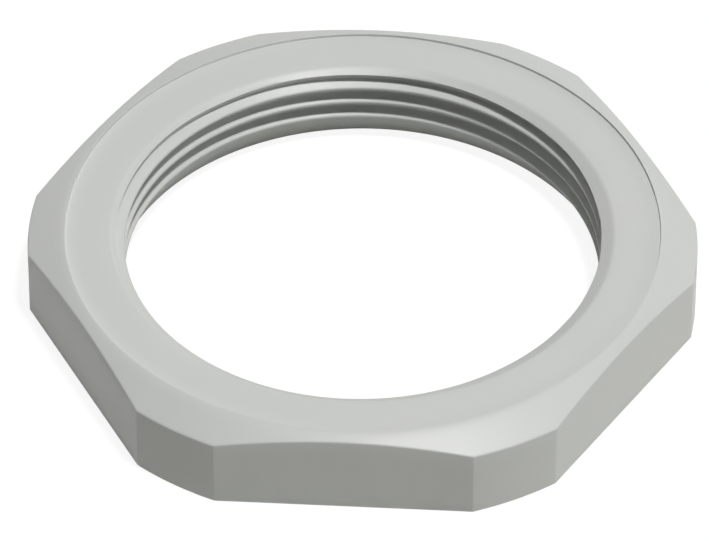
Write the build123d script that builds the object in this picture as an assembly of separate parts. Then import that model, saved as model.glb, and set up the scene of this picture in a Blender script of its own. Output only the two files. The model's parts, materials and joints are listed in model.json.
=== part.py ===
"""Cable gland locknut, M40 x 1.5, moulded in one piece from light grey polyamide.

Millimetres. The underside lies on z = 0, the thread's axis is +Z, and the origin is where the two meet.
One flat looks along -Y and its opposite along +Y.
"""
import math
import os

from build123d import *

# Thread: metric, right-handed, single start, with crests half as wide as the basic form's, for play
thread_major_diameter = 40.0
thread_pitch = 1.5
thread_flank_angle = 30.0
crest_land_share = 1 / 8
root_land_share = 1 / 4
first_root_height = 1.26

# Hexagon: flats at a wall's thickness from the thread's root, and corners turned to one cylinder
wall = 5.0
flat_count = 6
corner_rise = 2.0

# Top: a face sunk inside a narrow lip, and a cone from the lip down to the corners
face_height = 7.0
lip_rise = 0.25
lip_inset = 1.0
lip_land = 0.2
cone_angle = 25.0

# Bore's ends: a countersink at the top, and a plain relief below the thread
countersink_margin = 0.25
countersink_slope = 30.0
relief_margin = 0.4
relief_depth = 1.8

# Softened edges
recess_fillet = 0.2
lip_fillet = 0.8
countersink_fillet = 0.4
upright_fillet = 0.5
outline_chamfer = 0.1

# How far the groove's cutter reaches past the crests into the open bore
cutter_reach = 0.2

# Radii and heights that follow from the sizes above
major_radius = thread_major_diameter / 2
flank_slope = math.tan(math.radians(thread_flank_angle))
thread_depth = thread_pitch * (1 - crest_land_share - root_land_share) / (2 * flank_slope)
minor_radius = major_radius - thread_depth
flat_radius = major_radius + wall
corner_radius = flat_radius + corner_rise
lip_height = face_height + lip_rise
lip_inner_radius = flat_radius - lip_inset
lip_outer_radius = lip_inner_radius + lip_land
corner_height = lip_height - (corner_radius - lip_outer_radius) * math.tan(math.radians(cone_angle))
countersink_radius = major_radius + countersink_margin
countersink_depth = (countersink_radius - minor_radius) * math.tan(math.radians(countersink_slope))
relief_radius = major_radius + relief_margin


def rounded(section, corner, radius):
    """Rounds the corner of a section that lies nearest to a given radius and height."""
    nearest = section.vertices().sort_by_distance((*corner, 0))[0]
    return fillet(nearest, radius)


def half_section():
    """The wall's section from the bore to the corners: radius across, height up."""
    lip_corner = (lip_outer_radius, lip_height)
    recess_corner = (lip_inner_radius, face_height)
    countersink_mouth = (countersink_radius, face_height)
    outline = Polyline(
        (relief_radius, 0),
        (corner_radius, 0),
        (corner_radius, corner_height),
        lip_corner,
        (lip_inner_radius, lip_height),
        recess_corner,
        countersink_mouth,
        (minor_radius, face_height - countersink_depth),
        (minor_radius, relief_depth),
        (relief_radius, relief_depth),
        close=True,
    )
    section = make_face(outline)
    section = rounded(section, lip_corner, lip_fillet)
    section = rounded(section, recess_corner, recess_fillet)
    return rounded(section, countersink_mouth, countersink_fillet)


def turned_ring():
    """The round blank with a plain bore."""
    return revolve(Plane.XZ * half_section(), axis=Axis.Z)


def hexagon_prism():
    """The prism that bounds the flats, taller than the blank."""
    hexagon = RegularPolygon(flat_radius, flat_count, major_radius=False)
    return extrude(hexagon, 2 * lip_height)


def outer_edges(nut):
    """The edges outside the lip: the uprights and the outlines of the cone and the underside."""
    limit = (lip_outer_radius + flat_radius) / 2
    return nut.edges().filter_by(lambda edge: math.hypot(edge.center().X, edge.center().Y) > limit)


def soften_outer_edges(nut):
    """Rounds the uprights beside the flats, then breaks the outlines of the underside and the cone."""
    nut = fillet(outer_edges(nut).filter_by(Axis.Z), upright_fillet)
    outlines = outer_edges(nut) - outer_edges(nut).filter_by(Axis.Z)
    return chamfer(outlines, outline_chamfer)


def groove_turn(root_height):
    """One turn of the thread's groove, rising from a root height at +X."""
    inner_radius = minor_radius - cutter_reach
    half_root = thread_pitch * root_land_share / 2
    half_mouth = half_root + (major_radius - inner_radius) * flank_slope
    section = Polyline(
        (major_radius, 0, root_height - half_root),
        (major_radius, 0, root_height + half_root),
        (inner_radius, 0, root_height + half_mouth),
        (inner_radius, 0, root_height - half_mouth),
        close=True,
    )
    path = Helix(pitch=thread_pitch, height=thread_pitch, radius=major_radius, center=(0, 0, root_height))
    return sweep(make_face(section), path=path, is_frenet=True)


def cut_thread(nut):
    """Cuts the groove turn by turn, from inside the relief up through the countersink."""
    root_height = first_root_height - thread_pitch
    while root_height < face_height:
        nut = nut - groove_turn(root_height)
        root_height += thread_pitch
    return nut


def locknut():
    """The whole nut, as one solid."""
    blank = turned_ring() & hexagon_prism()
    return cut_thread(soften_outer_edges(blank))


os.makedirs("parts", exist_ok=True)
export_step(locknut(), "parts/locknut.step")
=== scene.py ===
"""Cable gland locknut of light grey polyamide, on a white studio floor.

The nut is one moulding, drawn here as a grid of rows round the thread's axis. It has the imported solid's
form, with rounder circles, softened crests and roots, and a longer shoulder on its lip. Lengths are in
metres.
"""

import json
import math

import bmesh
import bpy
import numpy as np
from mathutils import Matrix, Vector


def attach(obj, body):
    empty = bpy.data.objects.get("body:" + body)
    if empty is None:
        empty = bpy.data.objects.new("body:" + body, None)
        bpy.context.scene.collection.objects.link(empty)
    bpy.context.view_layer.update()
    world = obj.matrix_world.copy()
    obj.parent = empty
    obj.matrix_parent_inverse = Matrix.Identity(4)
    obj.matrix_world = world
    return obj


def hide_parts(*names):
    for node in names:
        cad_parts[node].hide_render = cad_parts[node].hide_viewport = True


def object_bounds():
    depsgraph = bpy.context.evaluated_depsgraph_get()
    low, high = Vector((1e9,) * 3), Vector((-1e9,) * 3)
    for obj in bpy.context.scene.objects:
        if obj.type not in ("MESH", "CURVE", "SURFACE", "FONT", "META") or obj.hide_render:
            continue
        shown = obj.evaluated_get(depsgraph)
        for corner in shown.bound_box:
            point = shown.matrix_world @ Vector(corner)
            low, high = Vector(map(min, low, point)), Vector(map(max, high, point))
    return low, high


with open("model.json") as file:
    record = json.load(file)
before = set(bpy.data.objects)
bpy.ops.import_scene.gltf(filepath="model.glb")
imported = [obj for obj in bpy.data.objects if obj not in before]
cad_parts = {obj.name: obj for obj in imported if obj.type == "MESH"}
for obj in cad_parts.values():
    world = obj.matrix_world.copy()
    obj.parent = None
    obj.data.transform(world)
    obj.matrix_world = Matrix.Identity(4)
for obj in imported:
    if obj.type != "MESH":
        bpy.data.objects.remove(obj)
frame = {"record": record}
cad_low, cad_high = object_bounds()

MM = 0.001

# The nut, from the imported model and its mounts
mounts = {mount["name"]: mount for mount in frame["record"]["mounts"]}
flat_radius = -mounts["front_flat"]["pos_m"][1]
face_height = mounts["top_face"]["pos_m"][2]
crest_radius = mounts["thread"]["dims"]["r_mm"] * MM
lip_height = cad_high.z

# Hexagon: six flats, and corners turned to one cylinder
flat_count = 6
flat_turn = math.tau / flat_count
corner_radius = 27.0 * MM

# Top: the lip's inner wall, and the radius where the cone's line would reach the lip's height
lip_inner_radius = flat_radius - 1.0 * MM
cone_top_radius = lip_inner_radius + 0.2 * MM
cone_slope = math.tan(math.radians(25.0))

# Thread, and the bore's ends
root_radius = 20.0 * MM
pitch = 1.5 * MM
root_land = pitch / 4
flank_slope = math.tan(math.radians(30.0))
first_root_height = 1.26 * MM
countersink_radius = root_radius + 0.25 * MM
countersink_angle = math.radians(30.0)
relief_radius = root_radius + 0.4 * MM
relief_height = 1.8 * MM

# Lip's shoulder: a long curve that bends at a radius on the cone's line and ends a cut's length further down
shoulder_radius = 24.4 * MM
shoulder_cut = 0.55 * MM

# Other roundings: how far each is cut back along its two sides
outline_cut = 0.12 * MM
lip_edge_cut = 0.04 * MM
recess_cut = 0.05 * MM
mouth_cut = 0.2 * MM
crest_cut = 0.09 * MM
root_cut = 0.05 * MM
relief_cut = 0.05 * MM

# Upright edges: their radius, its centre across and along the flat, and the angles between which they lie
upright_rounding = 0.5 * MM
centre_across = flat_radius - upright_rounding
centre_along = math.sqrt((corner_radius - upright_rounding) ** 2 - centre_across ** 2)
flat_end = math.atan2(centre_along, flat_radius)
corner_start = math.atan2(centre_along, centre_across)

# How finely the mesh is drawn
flat_columns = 36
upright_columns = 5
corner_columns = 12
flank_rows = 4
rounding_rows = 4
face_rows = 2
cone_rows = 10
wall_rows = 4
underside_rows = 4
weld_distance = 0.0001 * MM
sharp_angle = math.radians(40.0)

# Moulded surface: two greys in a soft cloud, patches of gloss, and a fine grain
cool_grey = (0.550, 0.569, 0.554)
warm_grey = (0.592, 0.596, 0.574)
cloud_size = 9 * MM
cloud_detail = 3
lowest_roughness = 0.41
highest_roughness = 0.49
patch_size = 4 * MM
patch_detail = 2
grain_size = 0.22 * MM
grain_detail = 2
grain_depth = 0.02 * MM
grain_strength = 0.2

# Floor: it lies just under the nut, and ends where what it shows still equals the white beyond it
floor_colour = (0.71, 0.71, 0.675)
floor_reach = 400 * MM
floor_drop = 0.02 * MM

# White that the camera sees: its strength, and the share of a surface's own light that shows with it
floor_glow = 0.9
floor_kept = 0.2
sky_glow = 1.0
sky_kept = 0.0

# Camera, round the middle of the underside, with a small turn of its own to frame the nut; its lens is in mm
camera_azimuth = math.radians(3.33)
camera_elevation = math.radians(42.23)
camera_distance = 604.9 * MM
camera_lens = 378.5
camera_near = 10 * MM
camera_yaw = math.radians(0.062)
camera_pitch = math.radians(0.177)
camera_roll = math.radians(0.17)

# Lamps: how far each stands from the nut
lamp_distance = 1000 * MM


def half_sextant():
    """Angles from a flat's normal, from the middle of a corner to just beside the middle of the flat."""
    return np.concatenate([
        np.linspace(flat_turn / 2, corner_start, corner_columns, endpoint=False),
        np.linspace(corner_start, flat_end, upright_columns, endpoint=False),
        np.linspace(flat_end, 0, flat_columns, endpoint=False),
    ])


def outline():
    """Azimuths once round from the corner on +X, and the outer radius at each."""
    half = half_sextant()
    # From a corner's middle over the flat to just before the next corner's middle
    sextant = np.concatenate([-half, [0.0], half[:0:-1]])
    middles = [(i + 0.5) * flat_turn for i in range(flat_count)]
    azimuth = np.concatenate([middle + sextant for middle in middles] + [[math.tau]])
    angle = np.abs(np.concatenate([sextant] * flat_count + [sextant[:1]]))
    return azimuth, outer_radius(angle)


def outer_radius(angle):
    """The radius at an angle from the nearest flat's normal: of the flat, its rounded end or the corner."""
    flat = flat_radius / np.cos(angle)
    along = centre_across * np.cos(angle) + centre_along * np.sin(angle)
    chord_squared = along ** 2 - centre_across ** 2 - centre_along ** 2 + upright_rounding ** 2
    rounding = along + np.sqrt(np.maximum(chord_squared, 0))
    return np.where(angle <= flat_end, flat, np.where(angle >= corner_start, corner_radius, rounding))


def between(start, end, share):
    """The point at a share of the way from start to end. Points are (radius, height) pairs."""
    return tuple(s + (e - s) * share for s, e in zip(start, end))


def towards(start, end, length):
    """The point at a given length from start on the way to end."""
    return between(start, end, length / np.hypot(end[0] - start[0], end[1] - start[1]))


def straight(start, end, rows):
    """Evenly spaced points between two points, without the ends."""
    return [between(start, end, share) for share in np.linspace(0, 1, rows + 2)[1:-1]]


def rounded(before, corner, after, cut, cut_after=None):
    """A rounded corner's points, on a curve that leaves each side at its cut's length from the corner."""
    first = towards(corner, before, cut)
    last = towards(corner, after, cut_after or cut)
    points = []
    for share in np.linspace(0, 1, rounding_rows):
        coming = between(first, corner, share)
        going = between(corner, last, share)
        points.append(between(coming, going, share))
    return points


def thread_profile():
    """One pitch of the thread from root to root: heights above the root's middle, and radii."""
    half_root = root_land / 2
    flank_height = (root_radius - crest_radius) * flank_slope
    root = (root_radius, 0.0)
    root_edge = (root_radius, half_root)
    crest_edge = (crest_radius, half_root + flank_height)
    crest = (crest_radius, pitch / 2)
    lower = [root] + rounded(root, root_edge, crest_edge, root_cut)
    lower += straight(lower[-1], towards(crest_edge, root_edge, crest_cut), flank_rows)
    lower += rounded(root_edge, crest_edge, crest, crest_cut)
    upper = [(radius, pitch - height) for radius, height in reversed(lower[1:])]
    radii, heights = np.transpose(lower + [crest] + upper)
    return heights, radii


def countersink(height):
    """The countersink's radius at a height."""
    return countersink_radius - (face_height - height) / math.tan(countersink_angle)


def thread_rows(azimuth):
    """The thread's rows, which climb a pitch in one turn, cut off by the relief and the countersink."""
    heights, radii = thread_profile()
    climb = pitch * azimuth / math.tau
    top = face_height - mouth_cut * math.sin(countersink_angle)
    # The first turn starts below the relief's ledge even after its climb, and the last one ends above the
    # top even before it
    first_turn = math.floor((relief_height - first_root_height) / pitch) - 1
    last_turn = math.floor((top - first_root_height) / pitch)
    rows = []
    for turn in range(first_turn, last_turn + 1):
        for height, radius in zip(heights, radii):
            level = first_root_height + turn * pitch + height + climb
            # A point past the ledge or the top is drawn back to it, at the radius that the thread has there
            kept = np.clip(level, relief_height, top)
            phase = np.mod(kept - first_root_height - climb, pitch)
            cut_off = np.interp(phase, np.append(heights, pitch), np.append(radii, radii[0]))
            groove = np.where(kept == level, radius, cut_off)
            rows.append((np.maximum(groove, countersink(kept)), kept))
    return rows


def relief_rows():
    """The relief below the thread, from the underside to its ledge."""
    underside = (flat_radius, 0.0)
    foot = (relief_radius, 0.0)
    ledge = (relief_radius, relief_height)
    crest = (crest_radius, relief_height)
    return rounded(underside, foot, ledge, relief_cut) + rounded(foot, ledge, crest, relief_cut)


def cone(radius):
    """The cone's height at a radius."""
    return lip_height - (radius - cone_top_radius) * cone_slope


def top_rows(radius):
    """From the countersink's mouth over the sunk face, the lip and the cone to the outline."""
    bore = (countersink(face_height - pitch), face_height - pitch)
    mouth = (countersink_radius, face_height)
    recess = (lip_inner_radius, face_height)
    lip_edge = (lip_inner_radius, lip_height)
    shoulder = (shoulder_radius, cone(shoulder_radius))
    edge = (radius, cone(radius))
    foot = (radius, np.zeros_like(radius))
    rows = rounded(bore, mouth, recess, mouth_cut)[1:]
    rows += straight(rows[-1], towards(recess, mouth, recess_cut), face_rows)
    rows += rounded(mouth, recess, lip_edge, recess_cut)
    rows += rounded(recess, lip_edge, shoulder, lip_edge_cut)
    rows += rounded(lip_edge, shoulder, edge, math.dist(rows[-1], shoulder), shoulder_cut)[1:]
    rows += straight(rows[-1], towards(edge, shoulder, outline_cut), cone_rows)
    rows += rounded(shoulder, edge, foot, outline_cut)
    return rows


def outer_rows(radius):
    """Down the outer wall and in along the underside."""
    edge = (radius, cone(radius))
    foot = (radius, np.zeros_like(radius))
    bore = (relief_radius, 0.0)
    rows = straight(towards(edge, foot, outline_cut), towards(foot, edge, outline_cut), wall_rows)
    rows += rounded(edge, foot, bore, outline_cut)
    rows += straight(rows[-1], towards(bore, foot, relief_cut), underside_rows)
    return rows


def nut_mesh():
    """The nut's mesh, from rows of points that run round the axis and close on the first row.

    A row's radius and its height are each one number or an array over the azimuths. Welding joins the
    last column to the first, and draws together what the relief and the countersink cut off the thread.
    """
    azimuth, radius = outline()
    rows = relief_rows() + thread_rows(azimuth) + top_rows(radius) + outer_rows(radius)
    mesh = bmesh.new()
    grid = []
    for across, height in rows:
        across = np.broadcast_to(across, azimuth.shape)
        height = np.broadcast_to(height, azimuth.shape)
        points = zip(across * np.cos(azimuth), across * np.sin(azimuth), height)
        grid.append([mesh.verts.new(point) for point in points])
    for row, following in zip(grid, grid[1:] + grid[:1]):
        for i in range(len(azimuth) - 1):
            mesh.faces.new((row[i], following[i], following[i + 1], row[i + 1]))
    bmesh.ops.remove_doubles(mesh, verts=mesh.verts, dist=weld_distance)
    bmesh.ops.recalc_face_normals(mesh, faces=mesh.faces)
    data = bpy.data.meshes.new("nut")
    mesh.to_mesh(data)
    mesh.free()
    return data


def add_nut(material):
    """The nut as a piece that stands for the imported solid."""
    data = nut_mesh()
    data.materials.append(material)
    data.shade_smooth()
    data.set_sharp_from_angle(angle=sharp_angle)
    nut = bpy.data.objects.new("nut", data)
    bpy.context.scene.collection.objects.link(nut)
    weighted = nut.modifiers.new("weighted_normals", "WEIGHTED_NORMAL")
    weighted.keep_sharp = True
    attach(nut, "root")
    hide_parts("locknut")


def noise(tree, place, size, detail):
    """A noise texture on the nut's own coordinates, with spots of about a given size."""
    texture = tree.nodes.new("ShaderNodeTexNoise")
    texture.inputs["Scale"].default_value = 1 / size
    texture.inputs["Detail"].default_value = detail
    tree.links.new(place.outputs["Object"], texture.inputs["Vector"])
    return texture.outputs["Fac"]


def polyamide():
    """Light grey moulded polyamide: satin, with a fine grain and a faint clouding of the colour."""
    material = bpy.data.materials.new("moulded_polyamide")
    material.use_nodes = True
    tree = material.node_tree
    shader = tree.nodes["Principled BSDF"]
    place = tree.nodes.new("ShaderNodeTexCoord")

    colour = tree.nodes.new("ShaderNodeMix")
    colour.data_type = "RGBA"
    colour.inputs["A"].default_value = (*cool_grey, 1)
    colour.inputs["B"].default_value = (*warm_grey, 1)
    tree.links.new(noise(tree, place, cloud_size, cloud_detail), colour.inputs["Factor"])
    tree.links.new(colour.outputs["Result"], shader.inputs["Base Color"])

    roughness = tree.nodes.new("ShaderNodeMapRange")
    roughness.inputs["To Min"].default_value = lowest_roughness
    roughness.inputs["To Max"].default_value = highest_roughness
    tree.links.new(noise(tree, place, patch_size, patch_detail), roughness.inputs["Value"])
    tree.links.new(roughness.outputs["Result"], shader.inputs["Roughness"])

    grain = tree.nodes.new("ShaderNodeBump")
    grain.inputs["Strength"].default_value = grain_strength
    grain.inputs["Distance"].default_value = grain_depth
    tree.links.new(noise(tree, place, grain_size, grain_detail), grain.inputs["Height"])
    tree.links.new(grain.outputs["Normal"], shader.inputs["Normal"])
    return material


def combined(tree, operation, first, second):
    """The result of a math operation on a node's output and another output or a number."""
    node = tree.nodes.new("ShaderNodeMath")
    node.operation = operation
    tree.links.new(first, node.inputs[0])
    if isinstance(second, float):
        node.inputs[1].default_value = second
    else:
        tree.links.new(second, node.inputs[1])
    return node.outputs[0]


def show_white(tree, shader, output, glow, kept):
    """Adds white light of a given strength to what the camera, gloss and glass see of a surface or sky.

    Of the surface's own light they see the share kept. Nothing else is lit by the white.
    """
    ray = tree.nodes.new("ShaderNodeLightPath").outputs
    seen = combined(tree, "MAXIMUM", ray["Is Camera Ray"], ray["Is Glossy Ray"])
    seen = combined(tree, "MAXIMUM", seen, ray["Is Transmission Ray"])

    white = tree.nodes.new("ShaderNodeEmission")
    tree.links.new(combined(tree, "MULTIPLY", seen, glow), white.inputs["Strength"])

    # The mix's other input stays empty, so it only dims the surface's own light
    own = tree.nodes.new("ShaderNodeMixShader")
    tree.links.new(combined(tree, "MULTIPLY", seen, 1 - kept), own.inputs["Fac"])
    tree.links.new(shader.outputs[0], own.inputs[1])

    both = tree.nodes.new("ShaderNodeAddShader")
    tree.links.new(own.outputs[0], both.inputs[0])
    tree.links.new(white.outputs[0], both.inputs[1])
    tree.links.new(both.outputs[0], output.inputs["Surface"])


def add_floor():
    """A pale floor, seen as white, that keeps the nut's soft shadow."""
    square = ((-1, -1), (1, -1), (1, 1), (-1, 1))
    corners = [(x * floor_reach, y * floor_reach, -floor_drop) for x, y in square]
    mesh = bpy.data.meshes.new("floor")
    mesh.from_pydata(corners, [], [(0, 1, 2, 3)])
    ground = bpy.data.objects.new("floor", mesh)
    bpy.context.scene.collection.objects.link(ground)
    material = bpy.data.materials.new("floor")
    material.use_nodes = True
    nodes = material.node_tree.nodes
    shader = nodes["Principled BSDF"]
    shader.inputs["Base Color"].default_value = (*floor_colour, 1)
    shader.inputs["Roughness"].default_value = 1.0
    shader.inputs["Specular IOR Level"].default_value = 0.0
    show_white(material.node_tree, shader, nodes["Material Output"], floor_glow, floor_kept)
    mesh.materials.append(material)


def add_camera():
    """The photograph's camera."""
    camera = bpy.data.objects.new("camera", bpy.data.cameras.new("camera"))
    camera.data.lens = camera_lens
    camera.data.clip_start = camera_near
    orbit = Matrix.Rotation(camera_azimuth, 4, "Z") @ Matrix.Rotation(math.pi / 2 - camera_elevation, 4, "X")
    aim = Matrix.Rotation(camera_yaw, 4, "Y") @ Matrix.Rotation(camera_pitch, 4, "X")
    aim = aim @ Matrix.Rotation(camera_roll, 4, "Z")
    camera.matrix_world = orbit @ Matrix.Translation((0, 0, camera_distance)) @ aim
    bpy.context.scene.collection.objects.link(camera)
    bpy.context.scene.camera = camera


def add_lamp(name, azimuth, elevation, width, height, watts):
    """A softbox that faces the nut. Its azimuth is counted in degrees from the camera's right."""
    data = bpy.data.lights.new(name, "AREA")
    data.shape = "RECTANGLE"
    data.size = width
    data.size_y = height
    data.energy = watts
    lamp = bpy.data.objects.new(name, data)
    turn = Matrix.Rotation(camera_azimuth + math.radians(azimuth + 90), 4, "Z")
    tilt = Matrix.Rotation(math.radians(90 - elevation), 4, "X")
    lamp.matrix_world = turn @ tilt @ Matrix.Translation((0, 0, lamp_distance))
    bpy.context.scene.collection.objects.link(lamp)


def add_lamps():
    """A small strong key high over the near right, and three weaker softboxes: right, behind and left."""
    add_lamp("key", azimuth=322, elevation=77, width=0.12, height=0.12, watts=7.7)
    add_lamp("right", azimuth=346, elevation=8, width=0.4, height=0.2, watts=2.1)
    add_lamp("back", azimuth=75, elevation=36, width=0.4, height=0.4, watts=1.0)
    add_lamp("left", azimuth=172, elevation=78, width=0.5, height=0.5, watts=0.7)


def add_world():
    """A dark studio, seen as white."""
    world = bpy.data.worlds.new("world")
    bpy.context.scene.world = world
    world.use_nodes = True
    nodes = world.node_tree.nodes
    nodes["Background"].inputs["Strength"].default_value = 0.0
    show_white(world.node_tree, nodes["Background"], nodes["World Output"], sky_glow, sky_kept)


add_nut(polyamide())
add_floor()
add_camera()
add_lamps()
add_world()
bpy.context.scene.view_settings.view_transform = "Standard"
